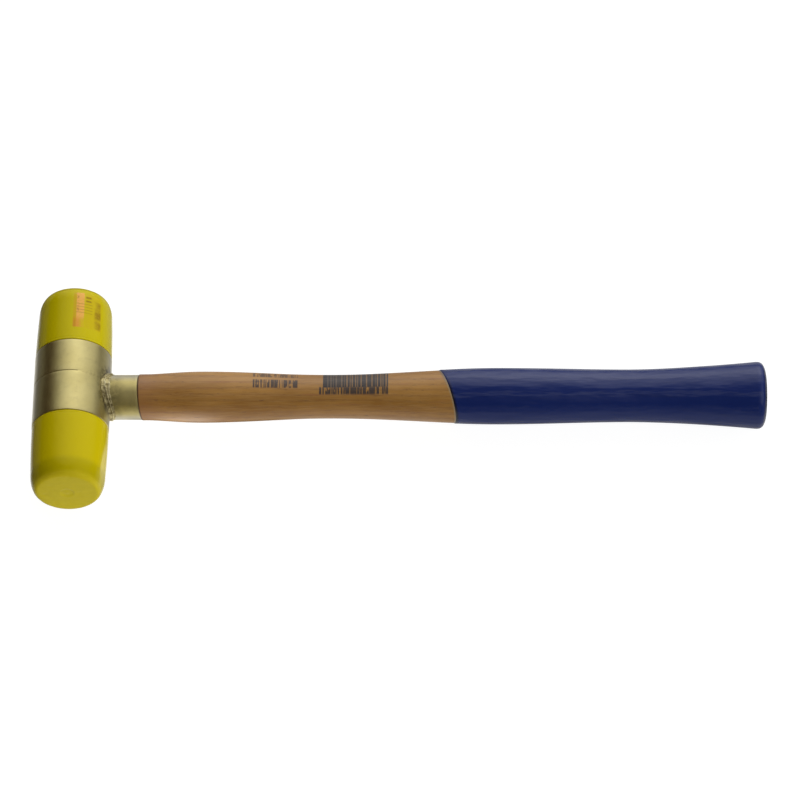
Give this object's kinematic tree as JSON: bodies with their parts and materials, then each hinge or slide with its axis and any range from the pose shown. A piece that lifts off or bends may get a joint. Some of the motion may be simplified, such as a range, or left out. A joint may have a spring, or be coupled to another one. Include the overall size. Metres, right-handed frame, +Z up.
{
  "type": "carving mallet",
  "caption": "Recoilless soft-face carving mallet: short steel tube head with two plastic striking faces, loose shot inside, and a round hickory handle with a dipped grip.",
  "frame": {"origin": "centre of the lower striking face, on the head's axis", "axes": "+Y along the head from the lower striking face to the upper one, +X along the handle from the head to the butt, +Z up from the surface when the mallet lies flat"},
  "size_m": [0.2852, 0.088, 0.03],
  "materials": {
    "face_plastic": "glossy moulded acid-yellow plastic",
    "sleeve_steel": "satin, yellow-passivated",
    "weld_steel": "rough weld bead under the same plating",
    "inner_steel": "plain drawn steel",
    "shot_steel": "bright ball shot",
    "hickory": "clear satin lacquer over hickory",
    "wedge_wood": "plain sawn hardwood",
    "grip_lacquer": "dipped blue lacquer"
  },
  "bodies": {
    "mallet": {"lower_face": "face_plastic", "upper_face": "face_plastic", "lower_sleeve": "sleeve_steel", "upper_sleeve": "sleeve_steel", "shot_canister": "inner_steel", "lower_disc": "inner_steel", "upper_disc": "inner_steel", "neck_tube": "sleeve_steel", "neck_weld": "weld_steel", "handle": "hickory", "handle_wedge": "wedge_wood", "grip_dip": "grip_lacquer"},
    "shot": {"steel_shot": "shot_steel"}
  },
  "joints": [
    {"name": "shot_slide", "type": "slide", "parent": "mallet", "child": "shot", "axis": [0, 1, 0], "range_m": [-0.0025, 0.0025]}
  ]
}
